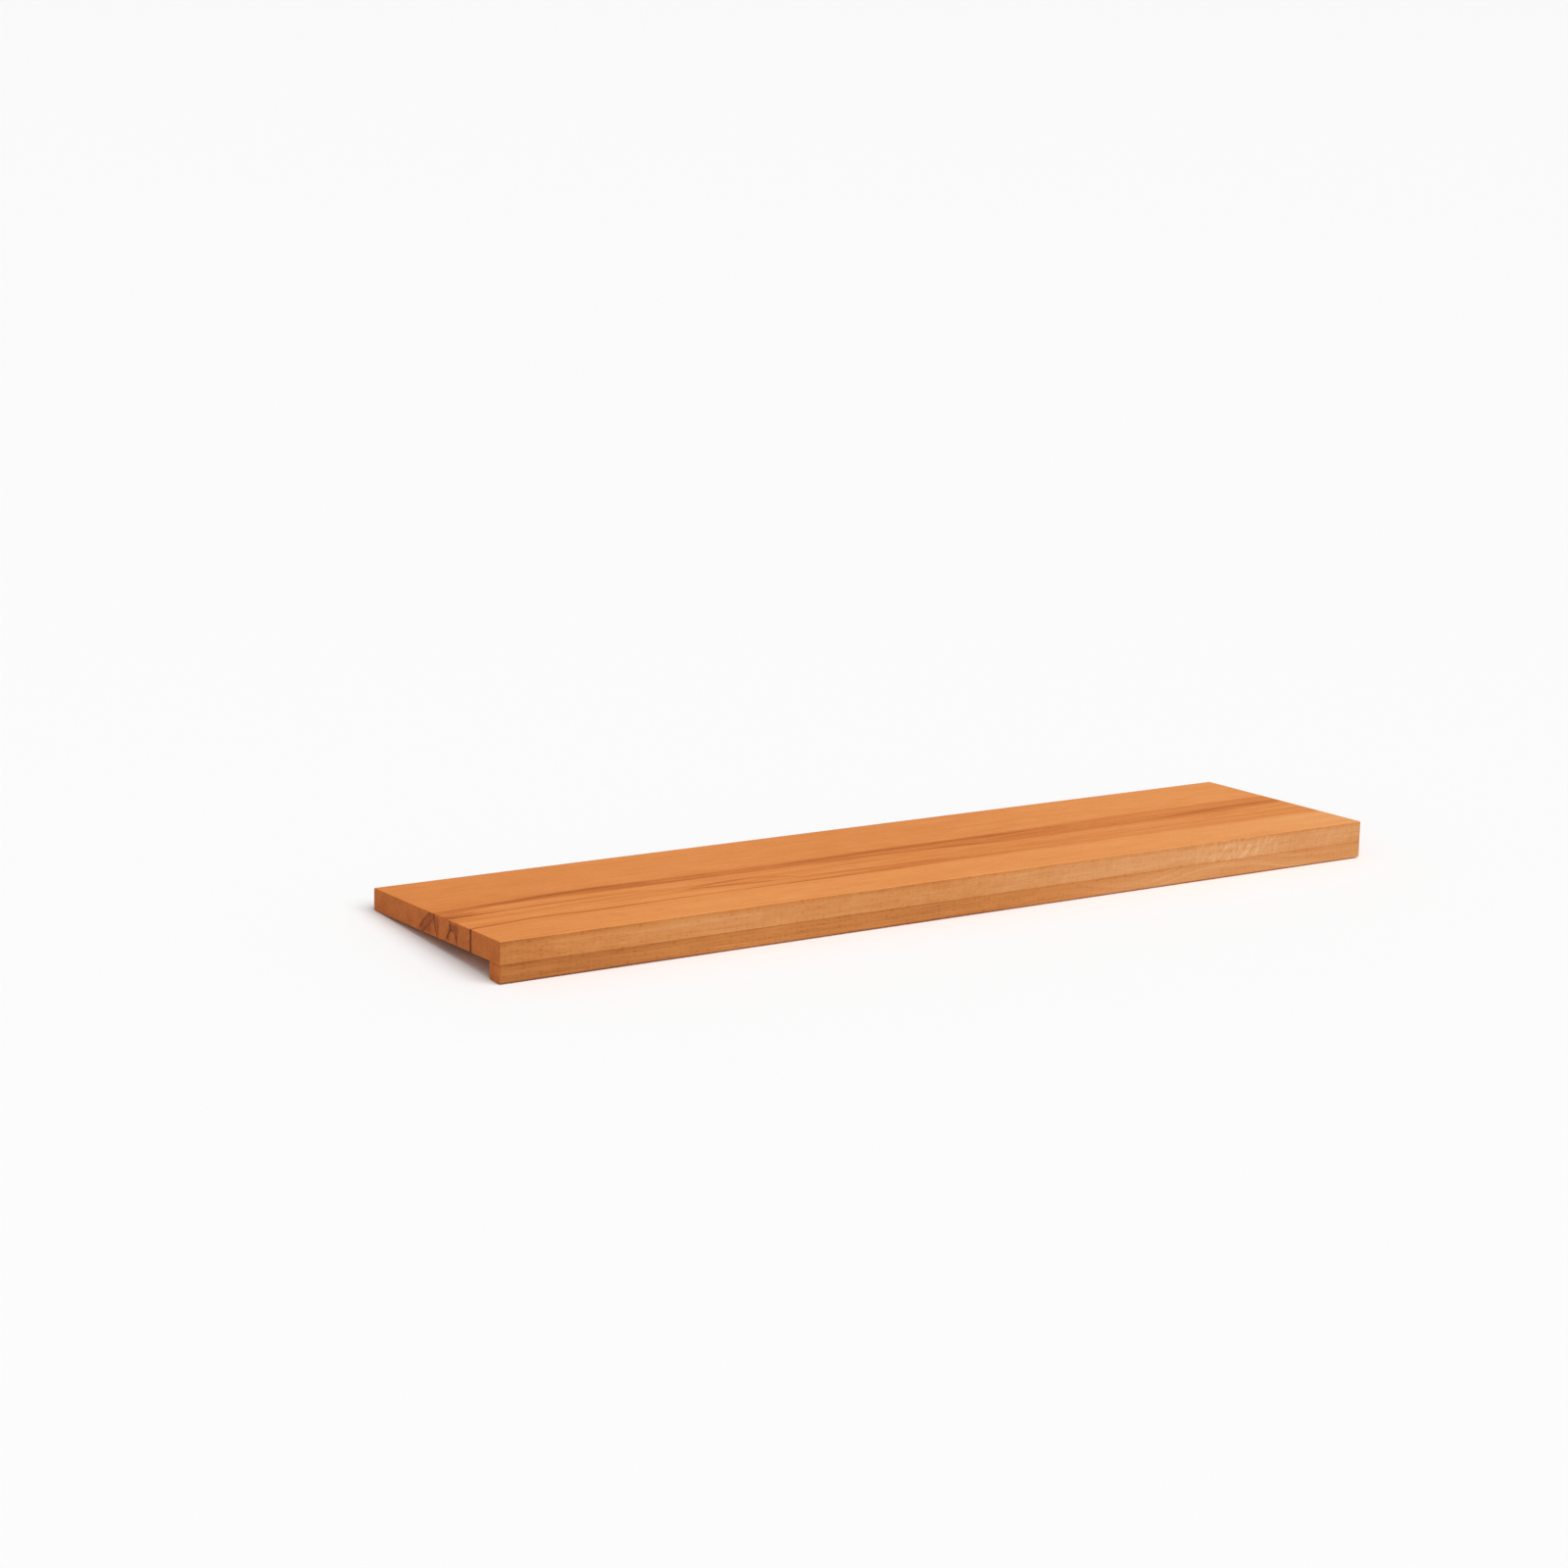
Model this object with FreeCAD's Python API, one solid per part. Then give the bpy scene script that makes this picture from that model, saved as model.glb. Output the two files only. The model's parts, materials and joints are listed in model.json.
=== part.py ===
"""Wooden stair tread: a solid plank with a strip glued under its front edge as a nosing.

The tread is drawn level, as it lies on a step: X runs along the step, Y from the front edge to
the back edge, and Z up from the bottom of the nosing strip. The strip is glued to the plank
first and the arrises are eased afterwards, so both pieces are parted from one eased blank.
Off the step, the tread rests on the heel of the strip and on its back edge. It is turned to that
slope at the end, with the middle of its footprint on the floor as the origin. All sizes in mm.
"""

import FreeCAD, Part
import math
import os

# Driving dimensions
LENGTH = 1300.0  # along the step
DEPTH = 300.0  # front edge to back edge
THICKNESS = 27.0  # the plank
STRIP_WIDTH = 24.0  # nosing strip, front to back
STRIP_DROP = 21.0  # nosing strip, below the plank's underside
ARRIS_RADIUS = 1.5  # sanded easing of every outer edge

# Worked out from the driving dimensions
FRONT_HEIGHT = STRIP_DROP + THICKNESS
REST_SLOPE = math.degrees(math.atan2(STRIP_DROP, DEPTH - STRIP_WIDTH))
SAME_PLACE = 1e-6  # two coordinates closer than this are the same

X_AXIS = FreeCAD.Vector(1, 0, 0)
PARTS_FOLDER = "parts"


def glued_blank():
    """The plank and its nosing strip as one sharp-edged L, extruded along the step."""
    left_end = -LENGTH / 2
    outline = [
        (0.0, 0.0),
        (STRIP_WIDTH, 0.0),
        (STRIP_WIDTH, STRIP_DROP),
        (DEPTH, STRIP_DROP),
        (DEPTH, FRONT_HEIGHT),
        (0.0, FRONT_HEIGHT),
    ]
    corners = [FreeCAD.Vector(left_end, y, z) for y, z in outline]
    section = Part.Face(Part.makePolygon(corners + corners[:1]))
    return section.extrude(X_AXIS * LENGTH)


def is_inner_corner(edge):
    """True for the long edge where the strip's back meets the plank's underside."""
    middle = edge.CenterOfMass
    behind_strip = abs(middle.y - STRIP_WIDTH) < SAME_PLACE
    under_plank = abs(middle.z - STRIP_DROP) < SAME_PLACE
    return behind_strip and under_plank


def eased(blank):
    """The blank with every outer arris rounded. The inner corner stays sharp."""
    arrises = [edge for edge in blank.Edges if not is_inner_corner(edge)]
    return blank.makeFillet(ARRIS_RADIUS, arrises)


def parted_at_glue_line(blank):
    """The plank above the level of the glue line, and the nosing strip below it."""
    corner = FreeCAD.Vector(-LENGTH / 2, 0, 0)
    below = Part.makeBox(LENGTH, DEPTH, STRIP_DROP, corner)
    above = Part.makeBox(LENGTH, DEPTH, THICKNESS, corner + FreeCAD.Vector(0, 0, STRIP_DROP))
    return {"tread_plank": blank.common(above), "nosing_strip": blank.common(below)}


def resting_placement(blank):
    """Turns the level tread onto its strip's heel and back edge, footprint centred on the origin."""
    turn = FreeCAD.Rotation(X_AXIS, -REST_SLOPE)
    turned = blank.copy()
    turned.Placement = FreeCAD.Placement(FreeCAD.Vector(), turn)
    box = turned.optimalBoundingBox(False)
    foot = FreeCAD.Vector(box.Center.x, box.Center.y, box.ZMin)
    return FreeCAD.Placement(-foot, turn)


def main():
    blank = eased(glued_blank())
    rest = resting_placement(blank)
    os.makedirs(PARTS_FOLDER, exist_ok=True)
    for name, piece in parted_at_glue_line(blank).items():
        solid = piece.Solids[0]
        solid.Placement = rest.multiply(solid.Placement)
        solid.exportStep(f"{PARTS_FOLDER}/{name}.step")
        print(f"{name}: {solid.Volume / 1e6:.4f} litres, valid {solid.isValid()}")
    print(f"rest slope {REST_SLOPE:.3f} degrees, foot at {rest.Base}")


main()
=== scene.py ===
"""Dresses the stair tread: oiled red-heart beech on the plank and its nosing strip, on a pale studio floor.

The grain is set out in the tread's own measures: from its left end, from its back edge and above its
underside. Distances are in metres. Shares are of the tread's length, of its depth from the back or of the
plank's thickness. A tone is 0 for the palest wood and 1 for the darkest.
"""

import json
import math
from typing import NamedTuple

import bpy
from mathutils import Matrix, Vector

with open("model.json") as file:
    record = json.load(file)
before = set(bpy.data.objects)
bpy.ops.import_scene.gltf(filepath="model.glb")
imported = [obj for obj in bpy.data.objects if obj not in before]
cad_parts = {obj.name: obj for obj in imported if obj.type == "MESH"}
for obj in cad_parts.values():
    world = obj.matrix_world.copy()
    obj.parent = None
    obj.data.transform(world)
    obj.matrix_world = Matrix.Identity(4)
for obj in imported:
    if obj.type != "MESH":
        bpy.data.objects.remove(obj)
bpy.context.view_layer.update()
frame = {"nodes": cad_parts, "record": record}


def mount_face(name):
    """A mount's point on its face, and the direction from there into the wood."""
    mount = next(found for found in frame["record"]["mounts"] if found["name"] == name)
    return Vector(mount["pos_m"]), -Vector(mount["axis"])


def plank_behind(name):
    """How far the plank reaches behind a mount's face."""
    point, inward = mount_face(name)
    return max(inward.dot(vertex.co - point) for vertex in frame["nodes"]["tread_plank"].data.vertices)


LENGTH = plank_behind("left_end")
DEPTH = plank_behind("back_edge")
THICKNESS = plank_behind("underside_seat")

# Camera: its place in metres, its angles in degrees, its lens in millimetres
CAMERA_PLACE = Vector((-2.4440, -3.2288, 1.2060))
CAMERA_AZIMUTH = -35.07
CAMERA_ELEVATION = 15.05
CAMERA_ROLL = 3.67
FOCAL_LENGTH = 77.55
SENSOR_WIDTH = 36.0

# Floor
FLOOR_REACH = 100.0
FLOOR_COLOUR = (0.97, 0.97, 0.97, 1.0)
FLOOR_ROUGHNESS = 0.9

# Sky: HORIZON_STRENGTH low down fades to SKY_STRENGTH over HORIZON_BAND, where 1 is straight overhead
SKY_COLOUR = (1.0, 1.0, 1.0, 1.0)
SKY_STRENGTH = 0.40
HORIZON_STRENGTH = 0.95
HORIZON_BAND = (0.05, 0.17)

# Key light, with its angles in degrees
KEY_STRENGTH = 2.3
KEY_AZIMUTH = 20.0
KEY_ELEVATION = 56.0
KEY_SPREAD = 60.0


class Noise(NamedTuple):
    """Noise in the wood: features per metre along, across and up, and how fine, rough and swirled it is."""

    scale: tuple
    detail: float
    roughness: float
    distortion: float = 0.0


class Stretch(NamedTuple):
    """A stretch with soft ends, as shares."""

    start: float
    end: float
    fade: float


class DarkLine(NamedTuple):
    """A dark line: its path, half width and stretch along the path, all as shares, and the tone it adds."""

    path: tuple
    half_width: float
    stretch: Stretch
    tone: float


class Spot(NamedTuple):
    """A soft spot: its middle, its half width and half height, and its strength in the middle."""

    x: float
    y: float
    half_width: float
    half_height: float
    strength: float


# Colours of the tones, as sRGB, and the tints that multiply them on each face; the edges' paler, bluer tint
# is partly the radial face's colour and partly painted sheen
TONES = (
    (0.00, (245, 175, 110)),
    (0.25, (234, 151, 80)),
    (0.50, (214, 124, 52)),
    (0.75, (168, 86, 30)),
    (1.00, (100, 44, 12)),
)
TOP_TINT = (1.0, 1.0, 1.0, 1.0)
EDGE_TINT_AND_SHEEN = (0.785, 1.0, 1.59, 1.0)
END_TINT = (0.935, 0.88, 0.95, 1.0)

# How squarely a point has to face a mount's way for its face's look to begin, and to be full
FACE_TURN = (0.5, 0.9)

# Oiled surface: fibres and dashes give its relief, and fibres vary its roughness
GLOSS = 0.1
ROUGHNESS = 0.6
FIBRE_ROUGHNESS = 0.12
BUMP_STRENGTH = 0.25
BUMP_DEPTH = 0.0003
DASH_DEPTH = 0.6

# Fine grain of both pieces: fibres, broader streaks and soft patches
FIBRES = Noise((9.0, 420.0, 420.0), 4.0, 0.65)
FIBRE_TONE = 0.3
STREAKS = Noise((2.2, 75.0, 75.0), 4.0, 0.6, 0.3)
PATCHES = Noise((22.0, 55.0, 55.0), 3.0, 0.6)
PLANK_PATCH_TONE = 0.18
STRIP_PATCH_TONE = 0.14

# Dashes: cells per metre, how far from a cell's middle its dash fades, and which cells have one
DASH_CELLS = (130.0, 950.0, 950.0)
DASH_EDGE = (0.5, 0.1)
DASH_CHOICE = (0.5, 0.7)
DASH_TONE = 0.15

# A curve is a row of points: the share of the length from the left end, and the value there
# Tone of the top, paler towards the right end partly as painted sheen, what the heart stripe and its dark
# core add to it, and what the sapwood takes from it
TOP_TONE_AND_SHEEN = ((0.0, 0.41), (0.15, 0.37), (0.3, 0.35), (0.5, 0.36), (0.65, 0.33), (0.8, 0.29), (1.0, 0.265))
HEART_TONE = ((0.0, 0.06), (0.08, 0.12), (0.15, 0.17), (0.3, 0.17), (0.45, 0.2), (0.58, 0.165),
              (0.75, 0.16), (1.0, 0.16))
CORE_TONE = ((0.0, 0.05), (0.08, 0.13), (0.2, 0.1), (0.3, 0.085), (0.42, 0.105), (0.52, 0.09),
             (0.62, 0.05), (1.0, 0.04))
SAPWOOD_TONE = ((0.0, 0.06), (0.5, 0.08), (0.8, 0.075), (1.0, 0.145))

# Borders on the top, as curves of the share of the depth, and how far each one blurs to both sides
HEART_BACK = ((0.0, 0.472), (0.06, 0.45), (0.12, 0.426), (0.2, 0.417), (0.34, 0.434),
              (0.49, 0.42), (0.6, 0.408), (0.67, 0.396), (0.82, 0.376), (1.0, 0.363))
HEART_BACK_BLUR = 0.006
HEART_FRONT = ((0.0, 0.53), (0.03, 0.515), (0.06, 0.502), (0.23, 0.5), (0.34, 0.496), (0.49, 0.508),
               (0.56, 0.524), (0.61, 0.553), (0.67, 0.548), (0.86, 0.533), (1.0, 0.52))
HEART_FRONT_BLUR = 0.009
SAPWOOD_BORDER = ((0.0, 0.782), (0.04, 0.757), (0.075, 0.743), (0.12, 0.753), (0.16, 0.752), (0.2, 0.744),
                  (0.34, 0.743), (0.42, 0.748), (0.67, 0.742), (1.0, 0.738))
SAPWOOD_BLUR = 0.006

# The heart's core: how far it lies in front of the heart's back border, as a share of the depth
CORE_OFFSET = 0.025
CORE_HALF_WIDTH = 0.035

# Wood in front of the heart: darker beside it, then paler at the left end and darker from MIDDLE_TURN on
BESIDE_HEART = Stretch(0.5, 0.6, 0.02)
BESIDE_HEART_TONE = 0.03
MIDDLE_BORDER = 0.61
MIDDLE_BLUR = 0.02
MIDDLE_PALER = 0.05
MIDDLE_DARKENING = 0.11
MIDDLE_TURN = (0.2, 0.5)

# Streaks on the top: they are strongest over the figured stretch, and follow the heart's bends in part
STREAK_TONE = 0.12
FIGURED = Stretch(0.41, 0.75, 0.03)
FIGURED_STREAK_TONE = 0.5
GRAIN_BEND = 0.5

# Small wander of the borders, lines and spots on the top, as a share of the depth
WANDER = Noise((9.0, 14.0, 14.0), 3.0, 0.5)
WANDER_WIDTH = 0.012

# Dark lines on the top: their paths are curves along the tread
TOP_LINES = (
    DarkLine(((0.0, 0.592), (0.02, 0.592), (0.08, 0.58), (0.17, 0.567), (0.22, 0.573), (1.0, 0.58)),
             0.013, Stretch(-0.1, 0.23, 0.04), 0.2),
    DarkLine(((0.0, 0.775), (0.04, 0.752), (0.075, 0.738), (0.12, 0.748), (0.16, 0.747), (0.2, 0.739),
              (0.34, 0.738), (0.42, 0.743), (0.67, 0.737), (1.0, 0.733)),
             0.015, Stretch(-0.1, 0.42, 0.12), 0.26),
    DarkLine(((0.0, 0.64), (0.24, 0.632), (0.265, 0.607), (0.3, 0.591), (0.36, 0.582), (1.0, 0.58)),
             0.016, Stretch(0.25, 0.32, 0.02), 0.2),
    DarkLine(((0.0, 0.62), (0.24, 0.63), (0.265, 0.64), (0.3, 0.652), (0.33, 0.668), (0.5, 0.682),
              (1.0, 0.69)),
             0.018, Stretch(0.25, 0.335, 0.025), 0.28),
    DarkLine(((0.0, 0.63), (0.28, 0.625), (0.33, 0.632), (0.4, 0.64), (1.0, 0.64)),
             0.012, Stretch(0.285, 0.36, 0.03), 0.12),
    DarkLine(((0.0, 0.6), (0.315, 0.6), (0.33, 0.607), (0.345, 0.616), (0.354, 0.637), (0.362, 0.668),
              (0.375, 0.68), (1.0, 0.69)),
             0.016, Stretch(0.325, 0.368, 0.012), 0.2),
    DarkLine(((0.0, 0.68), (0.36, 0.672), (0.45, 0.681), (0.55, 0.69), (1.0, 0.69)),
             0.018, Stretch(0.36, 0.52, 0.03), 0.2),
    DarkLine(((0.0, 0.7), (0.4, 0.7), (0.55, 0.71), (0.75, 0.7), (1.0, 0.695)),
             0.012, Stretch(0.45, 0.85, 0.06), 0.1),
    DarkLine(((0.0, 0.73), (0.36, 0.728), (0.5, 0.72), (0.6, 0.718), (1.0, 0.72)),
             0.016, Stretch(0.36, 0.62, 0.05), 0.12),
    DarkLine(((0.0, 0.65), (0.5, 0.65), (0.65, 0.655), (0.8, 0.648), (1.0, 0.645)),
             0.012, Stretch(0.55, 0.93, 0.08), 0.07),
    DarkLine(((0.0, 0.505), (0.82, 0.505), (0.85, 0.5), (0.905, 0.483), (1.0, 0.472)),
             0.028, Stretch(0.84, 1.1, 0.04), 0.2),
    DarkLine(((0.0, 0.54), (0.56, 0.517), (0.6, 0.53), (0.64, 0.542), (1.0, 0.54)),
             0.012, Stretch(0.555, 0.61, 0.02), 0.1),
)

# Dark spots on the top: shares of the length and of the depth, and the tone they add
TOP_SPOTS = (
    Spot(0.0, 0.585, 0.06, 0.14, 0.2),
    Spot(0.3, 0.542, 0.07, 0.04, 0.09),
    Spot(0.138, 0.87, 0.014, 0.08, 0.06),
    Spot(0.178, 0.867, 0.008, 0.03, 0.07),
)

# Sawn ends: on the right one the figure lies END_DRIFT further back, in metres, and its lines are fainter
END_TONE = 0.575
END_STREAK_TONE = 0.15
END_DRIFT = 0.012
END_FADE = 0.45
UNEVEN = Noise((60.0, 130.0, 130.0), 4.0, 0.65)

# Rings about the pith, in metres from the back and above the underside: they show more in the clouds
PITH_FROM_BACK = 0.1920
PITH_HEIGHT = 0.0060
RINGS = Noise((330.0, 1.0, 1.0), 3.0, 0.6)
RING_WAVER = 0.008
RING_TONE = 0.15
CLOUD_RING_TONE = 0.4

# Clouds of the heart on the ends, in metres from the back and above the underside
# Strengths and some noise add up: a cloud begins at the first of CLOUD_LIMITS and is full at the second
CLOUD_TONE = 0.18
CLOUD_RAGGEDNESS = 1.4
CLOUD_LIMITS = (0.1, 1.1)
CLOUDS = (
    Spot(0.1425, 0.0235, 0.0128, 0.0120, 0.9),
    Spot(0.1350, 0.0175, 0.0136, 0.0120, 0.9),
    Spot(0.1275, 0.0115, 0.0136, 0.0112, 0.8),
    Spot(0.1195, 0.0060, 0.0128, 0.0096, 0.8),
    Spot(0.1495, 0.0220, 0.0112, 0.0128, 0.6),
    Spot(0.1570, 0.0140, 0.0064, 0.0208, 0.9),
    Spot(0.1875, 0.0195, 0.0104, 0.0112, 0.9),
    Spot(0.2000, 0.0205, 0.0096, 0.0128, 0.8),
    Spot(0.1935, 0.0190, 0.0120, 0.0080, 0.6),
    Spot(0.1825, 0.0095, 0.0064, 0.0136, 0.7),
    Spot(0.2015, 0.0115, 0.0056, 0.0112, 0.7),
    Spot(0.2190, 0.0240, 0.0256, 0.0176, 0.4),
    Spot(0.1410, 0.0080, 0.0176, 0.0144, 0.6),
    Spot(0.1270, 0.0040, 0.0160, 0.0096, 0.5),
    Spot(0.1930, 0.0050, 0.0176, 0.0096, 0.35),
)

# Dark lines on the ends: their paths go up from the underside, by shares of the thickness and of the depth
LINE_WAVER = 0.01
LINE_RAGGEDNESS = 1.8
END_LINES = (
    DarkLine(((0.0, 0.365), (0.14, 0.377), (0.32, 0.392), (0.55, 0.41), (0.8, 0.44), (1.0, 0.462)),
             0.009, Stretch(0.1, 1.1, 0.1), 0.25),
    DarkLine(((0.0, 0.4), (0.13, 0.414), (0.32, 0.437), (0.52, 0.46), (0.7, 0.478), (1.0, 0.49)),
             0.007, Stretch(-0.1, 0.7, 0.1), 0.17),
    DarkLine(((0.0, 0.522), (0.12, 0.518), (0.29, 0.51), (0.62, 0.5), (0.86, 0.492), (1.0, 0.49)),
             0.008, Stretch(-0.1, 1.1, 0.1), 0.23),
    DarkLine(((0.0, 0.59), (0.155, 0.595), (0.37, 0.604), (0.54, 0.618), (0.745, 0.622), (1.0, 0.615)),
             0.008, Stretch(0.1, 1.1, 0.1), 0.27),
    DarkLine(((0.0, 0.678), (0.135, 0.672), (0.31, 0.667), (0.46, 0.66), (0.56, 0.645), (0.64, 0.625),
              (1.0, 0.62)),
             0.009, Stretch(-0.1, 0.66, 0.05), 0.23),
    DarkLine(((0.0, 0.778), (1.0, 0.778)),
             0.01, Stretch(-0.1, 1.1, 0.05), 0.55),
)

# Front and back edges: their tone along the tread, paler towards the right end partly as painted sheen, and
# a shade below the top
EDGE_TONE_AND_SHEEN = ((0.0, 0.55), (0.06, 0.495), (0.15, 0.45), (0.3, 0.41), (0.45, 0.425), (0.6, 0.35),
             (0.8, 0.28), (1.0, 0.31))
EDGE_STREAK_TONE = 0.2
EDGE_SHADE_DEPTH = 0.008
EDGE_SHADE_TONE = 0.14

# Pale rays on the edges: they lean to the right as they go up, and show more towards the right end
# Above RAY_LEVEL they make the wood paler, and below it darker
RAYS = Noise((120.0, 30.0, 75.0), 5.0, 0.7, 0.5)
RAY_LIMITS = (-0.12, 0.25)
RAY_LEAN = 0.5
RAY_LEVEL = 0.35
RAY_TONE = 0.03
RAY_TONE_GAIN = 0.07

# Silky patch on the front edge, where the rays show most, partly ray figure and partly painted sheen: place
# and half length, as shares of the length
SILK_SHEEN_PLACE = 0.83
SILK_SHEEN_HALF_LENGTH = 0.08
SILK_SHEEN_TONE = 0.19

# Glue joint: a thin dark line, and darker wood about it towards the right end, with half widths in metres
JOINT_HALF_WIDTH = 0.0015
JOINT_TONE = 0.1
JOINT_SHADE_HALF_WIDTH = 0.007
JOINT_SHADE_RISE = (0.4, 0.95)
JOINT_SHADE_TONE = 0.07

# Nosing strip: its tone along the tread, paler towards the right end partly as painted sheen, and the waves
# of its grain as shares of STRIP_WAVE, in metres
STRIP_TONE_AND_SHEEN = ((0.0, 0.65), (0.15, 0.605), (0.3, 0.54), (0.48, 0.54), (0.6, 0.5), (0.72, 0.385),
              (0.8, 0.34), (1.0, 0.355))
STRIP_GRAIN = ((0.0, 0.5), (0.5, 0.5), (0.62, 0.6), (0.7, 0.25), (0.81, 0.8), (0.92, 0.35), (1.0, 0.3))
STRIP_WAVE = 0.03
STRIP_RINGS = Noise((1.0, 20.0, 220.0), 3.0, 0.6)
STRIP_RING_TONE = 0.3
STRIP_STREAK_TONE = 0.3
STRIP_END_PALER = 0.06

# Sockets of a Mix node that mixes colours, which share their names with others
MIX_SHARE = 0
MIX_FIRST = 6
MIX_SECOND = 7
MIX_RESULT = 2


def srgb(red, green, blue):
    """A colour given in 0 to 255, as linear red, green, blue and alpha."""
    def linear(channel):
        share = channel / 255
        return share / 12.92 if share <= 0.04045 else ((share + 0.055) / 1.055) ** 2.4
    return linear(red), linear(green), linear(blue), 1.0


class Signal:
    """A number that varies over the surface. Sums and products of signals become nodes."""

    def __init__(self, graph, socket):
        self.graph = graph
        self.socket = socket

    def __add__(self, other):
        return self.graph.math("ADD", self, other)

    def __sub__(self, other):
        return self.graph.math("SUBTRACT", self, other)

    def __rsub__(self, other):
        return self.graph.math("SUBTRACT", other, self)

    def __mul__(self, other):
        return self.graph.math("MULTIPLY", self, other)

    __radd__ = __add__
    __rmul__ = __mul__

    def __abs__(self):
        return self.graph.math("ABSOLUTE", self)

    def ramp(self, low, high):
        """Smooth step: 0 at low, 1 at high, and level beyond both."""
        return self.graph.smooth_step(self, low, high)

    def rise(self, blur):
        """0 below zero and 1 above it, with a border that blurs to both sides."""
        return self.ramp(-blur, blur)

    def ridge(self, half_width):
        """1 at zero, falling to 0 at half_width on both sides."""
        return abs(self).ramp(half_width, 0.0)

    def window(self, stretch):
        """1 within a stretch and 0 beyond it."""
        return (self - stretch.start).rise(stretch.fade) * (stretch.end - self).rise(stretch.fade)

    def blend(self, share, other):
        """This signal where share is 0, and the other where it is 1."""
        return self + (other - self) * share


class Graph:
    """Nodes of a material or the world, wired by calls that take numbers, colours, signals or sockets."""

    def __init__(self, owner):
        owner.use_nodes = True
        self.owner = owner
        self.tree = owner.node_tree
        self.tree.nodes.clear()

    def node(self, kind, inputs=None, **settings):
        """A new node with its settings, and with its inputs set or linked."""
        made = self.tree.nodes.new(kind)
        for name, value in settings.items():
            setattr(made, name, value)
        for name, value in (inputs or {}).items():
            self.feed(made.inputs[name], value)
        return made

    def feed(self, socket, value):
        """Links a signal or a socket to an input, or sets a plain value on it."""
        if isinstance(value, Signal):
            value = value.socket
        if isinstance(value, bpy.types.NodeSocket):
            self.tree.links.new(value, socket)
        else:
            socket.default_value = value

    def signal(self, socket):
        return Signal(self, socket)

    def math(self, operation, first, second=0.0):
        made = self.node("ShaderNodeMath", {0: first, 1: second}, operation=operation)
        return self.signal(made.outputs["Value"])

    def smooth_step(self, value, low, high):
        inputs = {"Value": value, "From Min": low, "From Max": high}
        made = self.node("ShaderNodeMapRange", inputs, interpolation_type="SMOOTHSTEP")
        return self.signal(made.outputs["Result"])

    def curve(self, value, points):
        """A smooth curve through points, each from 0 to 1 in both directions."""
        made = self.node("ShaderNodeFloatCurve", {"Value": value})
        line = made.mapping.curves[0].points
        for place, height in points[1:-1]:
            line.new(place, height)
        line[0].location = points[0]
        line[len(line) - 1].location = points[-1]
        made.mapping.update()
        return self.signal(made.outputs["Value"])

    def vector(self, x, y, z):
        return self.node("ShaderNodeCombineXYZ", {"X": x, "Y": y, "Z": z}).outputs["Vector"]

    def scaled(self, vector, scale):
        made = self.node("ShaderNodeVectorMath", {0: vector, 1: scale}, operation="MULTIPLY")
        return made.outputs["Vector"]

    def dot(self, vector, other):
        made = self.node("ShaderNodeVectorMath", {0: vector, 1: other}, operation="DOT_PRODUCT")
        return self.signal(made.outputs["Value"])

    def length(self, vector):
        made = self.node("ShaderNodeVectorMath", {0: vector}, operation="LENGTH")
        return self.signal(made.outputs["Value"])

    def noise(self, vector, kind):
        """Noise about zero, mostly from -0.3 to 0.3."""
        inputs = {"Vector": self.scaled(vector, kind.scale), "Scale": 1.0, "Detail": kind.detail,
                  "Roughness": kind.roughness, "Distortion": kind.distortion}
        made = self.node("ShaderNodeTexNoise", inputs)
        return self.signal(made.outputs["Fac"]) - 0.5

    def mix(self, share, first, second, blend_type="MIX"):
        inputs = {MIX_SHARE: share, MIX_FIRST: first, MIX_SECOND: second}
        made = self.node("ShaderNodeMix", inputs, data_type="RGBA", blend_type=blend_type)
        return made.outputs[MIX_RESULT]


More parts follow.
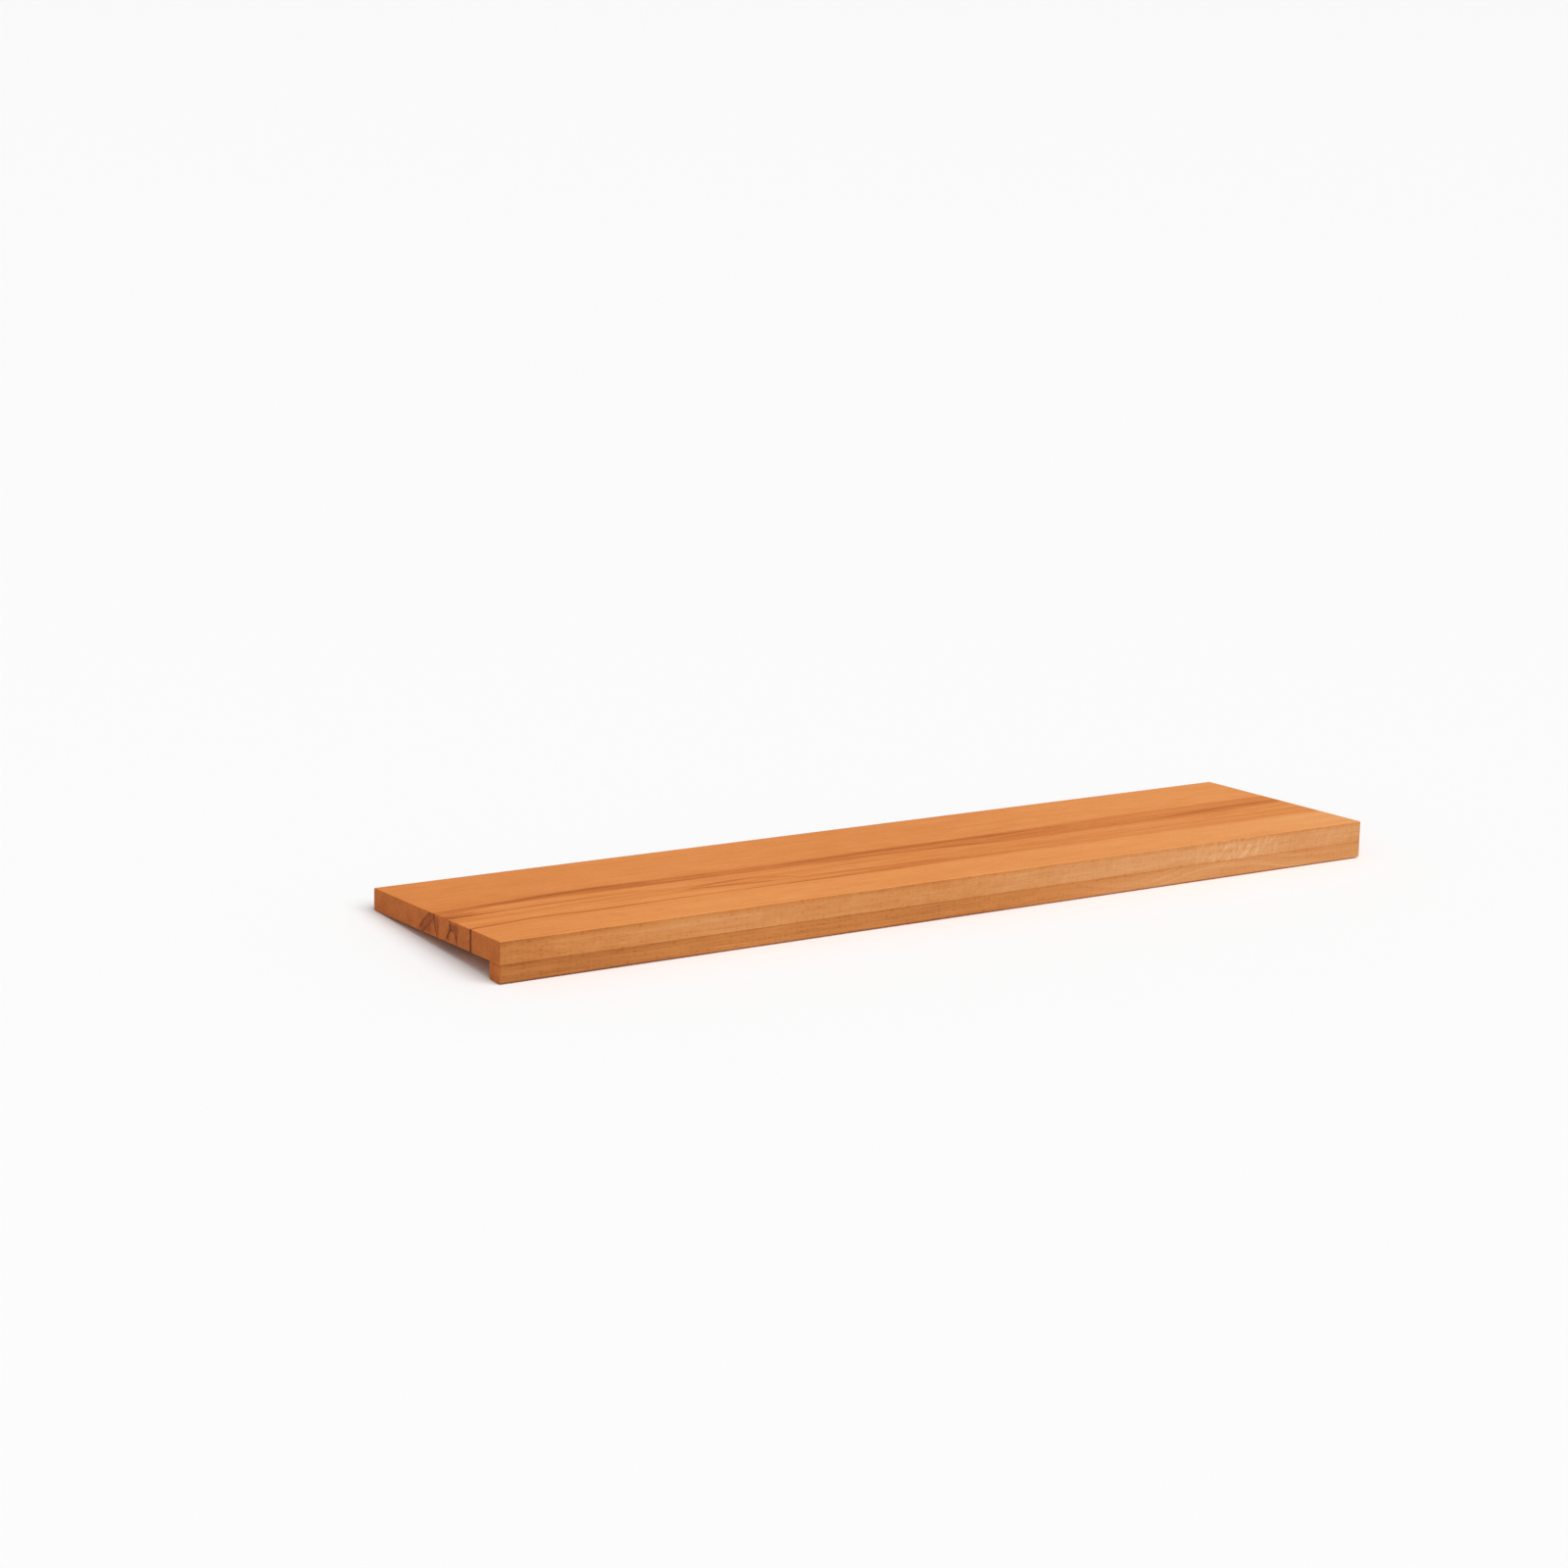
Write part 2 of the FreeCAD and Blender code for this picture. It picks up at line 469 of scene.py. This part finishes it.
class Wood(Graph):
    """The nodes of a wood, with the tread's own measures at each point of the surface."""

    def __init__(self, name):
        super().__init__(bpy.data.materials.new(name))
        coordinates = self.node("ShaderNodeTexCoord")
        self.point = coordinates.outputs["Object"]
        self.normal = coordinates.outputs["Normal"]
        self.from_left = self.distance_behind("left_end")
        self.from_back = self.distance_behind("back_edge")
        self.height = self.distance_behind("underside_seat")
        self.along = self.from_left * (1 / LENGTH)
        self.across = self.from_back * (1 / DEPTH)
        self.up = self.height * (1 / THICKNESS)
        self.on_end = self.facing("left_end")
        self.on_edge = self.facing("back_edge")
        self.place = self.vector(self.from_left, self.from_back, self.height)

    def distance_behind(self, name):
        """How far a point lies behind a mount's face."""
        point, inward = mount_face(name)
        return self.dot(self.point, inward) - inward.dot(point)

    def facing(self, name):
        """1 on the mount's face and the face opposite to it, 0 on the others."""
        inward = mount_face(name)[1]
        return abs(self.dot(self.normal, inward)).ramp(*FACE_TURN)

    def tone_colour(self, tone):
        """The wood's colour for a tone."""
        made = self.node("ShaderNodeValToRGB", {"Fac": tone})
        stops = made.color_ramp.elements
        for place, colour in TONES[1:-1]:
            stops.new(place).color = srgb(*colour)
        stops[0].color = srgb(*TONES[0][1])
        stops[len(stops) - 1].color = srgb(*TONES[-1][1])
        return made.outputs["Color"]

    def dashes(self):
        """Short dark ray ends along the grain, as beech has them."""
        inputs = {"Vector": self.scaled(self.place, DASH_CELLS), "Scale": 1.0}
        cells = self.node("ShaderNodeTexVoronoi", inputs)
        chosen = self.node("ShaderNodeSeparateColor", {"Color": cells.outputs["Color"]})
        dash = self.signal(cells.outputs["Distance"]).ramp(*DASH_EDGE)
        return dash * self.signal(chosen.outputs["Red"]).ramp(*DASH_CHOICE)

    def lines(self, place, across, lines):
        """Tone that dark lines add. place runs along them and across over them, both as shares."""
        tone = 0.0
        for line in lines:
            shape = (across - self.curve(place, line.path)).ridge(line.half_width)
            tone = tone + shape * place.window(line.stretch) * line.tone
        return tone

    def spots(self, x, y, spots):
        """Strength of soft spots at the place x, y."""
        strength = 0.0
        for spot in spots:
            aside = (x - spot.x) * (1 / spot.half_width)
            above = (y - spot.y) * (1 / spot.half_height)
            strength = strength + self.length(self.vector(aside, above, 0.0)).ramp(1.0, 0.0) * spot.strength
        return strength

    def finish(self, tone, grain):
        """Adds fibres along the grain and dashes to a tone, and makes the oiled surface."""
        fibres = self.noise(grain, FIBRES)
        dashes = self.dashes()
        tone = tone + fibres * FIBRE_TONE + dashes * DASH_TONE
        # On the edges the tint is partly the radial face's colour and partly painted sheen
        tint = self.mix(self.on_edge, TOP_TINT, EDGE_TINT_AND_SHEEN)
        tint = self.mix(self.on_end, tint, END_TINT)
        relief = fibres - dashes * DASH_DEPTH
        bump = self.node("ShaderNodeBump", {
            "Strength": BUMP_STRENGTH,
            "Distance": BUMP_DEPTH,
            "Height": relief,
        })
        shader = self.node("ShaderNodeBsdfPrincipled", {
            "Base Color": self.mix(1.0, self.tone_colour(tone), tint, "MULTIPLY"),
            "Roughness": ROUGHNESS + fibres * FIBRE_ROUGHNESS,
            "Specular IOR Level": GLOSS,
            "Normal": bump.outputs["Normal"],
        })
        self.node("ShaderNodeOutputMaterial", {"Surface": shader.outputs["BSDF"]})
        return self.owner


def top_tone(wood, heart_back, streaks):
    """Tone of the top and of the underside: the heart stripe, paler sapwood, and dark lines and spots."""
    across = wood.across + wood.noise(wood.place, WANDER) * WANDER_WIDTH
    past_back = across - heart_back
    before_front = wood.curve(wood.along, HEART_FRONT) - across
    heart = past_back.rise(HEART_BACK_BLUR) * before_front.rise(HEART_FRONT_BLUR)
    core = (past_back - CORE_OFFSET).ridge(CORE_HALF_WIDTH)
    sapwood = (across - wood.curve(wood.along, SAPWOOD_BORDER)).rise(SAPWOOD_BLUR)
    middle = (across - MIDDLE_BORDER).rise(MIDDLE_BLUR) * (1 - sapwood)
    # Paler towards the right end, partly the wood's own tone and partly painted sheen
    tone = wood.curve(wood.along, TOP_TONE_AND_SHEEN)
    tone = tone + heart * wood.curve(wood.along, HEART_TONE)
    tone = tone + core * wood.curve(wood.along, CORE_TONE)
    tone = tone - sapwood * wood.curve(wood.along, SAPWOOD_TONE)
    tone = tone + across.window(BESIDE_HEART) * BESIDE_HEART_TONE
    tone = tone + middle * (wood.along.ramp(*MIDDLE_TURN) * MIDDLE_DARKENING - MIDDLE_PALER)
    tone = tone + streaks * (across.window(FIGURED) * FIGURED_STREAK_TONE + STREAK_TONE)
    return tone + wood.lines(wood.along, across, TOP_LINES) + wood.spots(wood.along, across, TOP_SPOTS)


def end_tone(wood, streaks):
    """Tone of the sawn ends: rings about the pith, and the heart's clouds and dark lines."""
    uneven = wood.noise(wood.place, UNEVEN)
    from_back = wood.from_back + wood.along * END_DRIFT
    cover = uneven * CLOUD_RAGGEDNESS + wood.spots(from_back, wood.height, CLOUDS)
    clouds = cover.ramp(*CLOUD_LIMITS)
    radius = wood.length(wood.vector(from_back - PITH_FROM_BACK, wood.height - PITH_HEIGHT, 0.0))
    rings = wood.noise(wood.vector(radius + uneven * RING_WAVER, 0.0, 0.0), RINGS)
    lines = wood.lines(wood.up, from_back * (1 / DEPTH) + uneven * LINE_WAVER, END_LINES)
    lines = lines * (uneven * LINE_RAGGEDNESS + 1.0) * (1 - wood.along * END_FADE)
    tone = END_TONE + streaks * END_STREAK_TONE + clouds * CLOUD_TONE
    return tone + rings * (clouds * CLOUD_RING_TONE + RING_TONE) + lines


def joint_tone(wood):
    """Tone that the glue joint adds on both pieces."""
    line = wood.height.ridge(JOINT_HALF_WIDTH) * JOINT_TONE
    towards_right = wood.along.ramp(*JOINT_SHADE_RISE)
    shade = wood.height.ridge(JOINT_SHADE_HALF_WIDTH) * towards_right * JOINT_SHADE_TONE
    return line + shade


def edge_tone(wood, streaks):
    """Tone of the front and back edges: pale rays, and a patch of paler rays at the front right that is
    partly painted sheen.
    """
    leaning = wood.vector(wood.from_left - wood.height * RAY_LEAN, wood.from_back, wood.height)
    rays = wood.noise(leaning, RAYS).ramp(*RAY_LIMITS)
    rays_and_sheen = rays * (wood.along - SILK_SHEEN_PLACE).ridge(SILK_SHEEN_HALF_LENGTH) * wood.across
    shade = wood.height.ramp(THICKNESS - EDGE_SHADE_DEPTH, THICKNESS)
    # The tone along the edges grows paler to the right, partly the wood's own tone and partly painted sheen
    tone = wood.curve(wood.along, EDGE_TONE_AND_SHEEN) + streaks * EDGE_STREAK_TONE + shade * EDGE_SHADE_TONE
    # Rays paler still in a patch at the front right, partly ray figure and partly painted sheen
    tone = tone + (RAY_LEVEL - rays) * (wood.along * RAY_TONE_GAIN + RAY_TONE) - rays_and_sheen * SILK_SHEEN_TONE
    return tone + joint_tone(wood)


def plank_wood():
    """Red-heart beech: an orange plank with a dark heart stripe, fine lines and clouded ends."""
    wood = Wood("plank_red_heart_beech")
    heart_back = wood.curve(wood.along, HEART_BACK)
    grain = wood.vector(wood.from_left, wood.from_back - heart_back * (DEPTH * GRAIN_BEND), wood.height)
    streaks = wood.noise(grain, STREAKS)
    tone = top_tone(wood, heart_back, streaks)
    tone = tone.blend(wood.on_edge, edge_tone(wood, streaks))
    tone = tone.blend(wood.on_end, end_tone(wood, streaks))
    tone = tone + wood.noise(wood.place, PATCHES) * PLANK_PATCH_TONE
    return wood.finish(tone, grain)


def strip_wood():
    """The nosing strip: a redder piece of beech with arched figure near its right end."""
    wood = Wood("strip_beech")
    wave = wood.curve(wood.along, STRIP_GRAIN) * STRIP_WAVE
    grain = wood.vector(wood.from_left, wood.from_back, wood.height - wave)
    # Paler towards the right end, partly the wood's own tone and partly painted sheen
    tone = wood.curve(wood.along, STRIP_TONE_AND_SHEEN) + joint_tone(wood) - wood.on_end * STRIP_END_PALER
    tone = tone + wood.noise(grain, STREAKS) * STRIP_STREAK_TONE
    tone = tone + wood.noise(grain, STRIP_RINGS) * STRIP_RING_TONE
    tone = tone + wood.noise(wood.place, PATCHES) * STRIP_PATCH_TONE
    return wood.finish(tone, grain)


def dress(node, material):
    """Gives a CAD node its material."""
    piece = frame["nodes"][node]
    piece.data.materials.clear()
    piece.data.materials.append(material)


def add_object(name, data):
    """A new object in the scene."""
    made = bpy.data.objects.new(name, data)
    bpy.context.scene.collection.objects.link(made)
    return made


def add_floor():
    """A plain pale floor."""
    graph = Graph(bpy.data.materials.new("floor_paint"))
    paint = {"Base Color": FLOOR_COLOUR, "Roughness": FLOOR_ROUGHNESS}
    shader = graph.node("ShaderNodeBsdfPrincipled", paint)
    graph.node("ShaderNodeOutputMaterial", {"Surface": shader.outputs["BSDF"]})
    corners = [(x * FLOOR_REACH, y * FLOOR_REACH, 0.0) for x, y in ((-1, -1), (1, -1), (1, 1), (-1, 1))]
    mesh = bpy.data.meshes.new("floor")
    mesh.from_pydata(corners, [], [(0, 1, 2, 3)])
    mesh.materials.append(graph.owner)
    floor = add_object("floor", mesh)


def direction_from(azimuth, elevation):
    """Unit vector towards a viewer or light. Azimuth 0 is in front of the tread, and 90 at its right."""
    turn = math.radians(azimuth)
    rise = math.radians(elevation)
    return Vector((math.sin(turn) * math.cos(rise), -math.cos(turn) * math.cos(rise), math.sin(rise)))


def add_sky():
    """A white sky, brightest near the horizon."""
    world = bpy.data.worlds.new("studio")
    graph = Graph(world)
    direction = graph.node("ShaderNodeTexCoord").outputs["Generated"]
    parts = graph.node("ShaderNodeSeparateXYZ", {"Vector": direction})
    above = graph.signal(parts.outputs["Z"]).ramp(*HORIZON_BAND)
    strength = HORIZON_STRENGTH + above * (SKY_STRENGTH - HORIZON_STRENGTH)
    light = graph.node("ShaderNodeBackground", {"Color": SKY_COLOUR, "Strength": strength})
    graph.node("ShaderNodeOutputWorld", {"Surface": light.outputs["Background"]})
    bpy.context.scene.world = world


def add_key_light():
    """One broad soft light from the front right."""
    key = bpy.data.lights.new("key", "SUN")
    key.energy = KEY_STRENGTH
    key.angle = math.radians(KEY_SPREAD)
    lamp = add_object("key", key)
    lamp.rotation_mode = "QUATERNION"
    lamp.rotation_quaternion = direction_from(KEY_AZIMUTH, KEY_ELEVATION).to_track_quat("Z", "Y")


def add_camera():
    """The photograph's viewpoint."""
    lens = bpy.data.cameras.new("camera")
    lens.lens = FOCAL_LENGTH
    lens.sensor_width = SENSOR_WIDTH
    camera = add_object("camera", lens)
    level = direction_from(CAMERA_AZIMUTH, CAMERA_ELEVATION).to_track_quat("Z", "Y").to_matrix().to_4x4()
    roll = Matrix.Rotation(math.radians(CAMERA_ROLL), 4, "Z")
    camera.matrix_world = Matrix.Translation(CAMERA_PLACE) @ level @ roll
    bpy.context.scene.camera = camera


dress("tread_plank", plank_wood())
dress("nosing_strip", strip_wood())
add_floor()
add_sky()
add_key_light()
add_camera()
bpy.context.scene.view_settings.view_transform = "Standard"
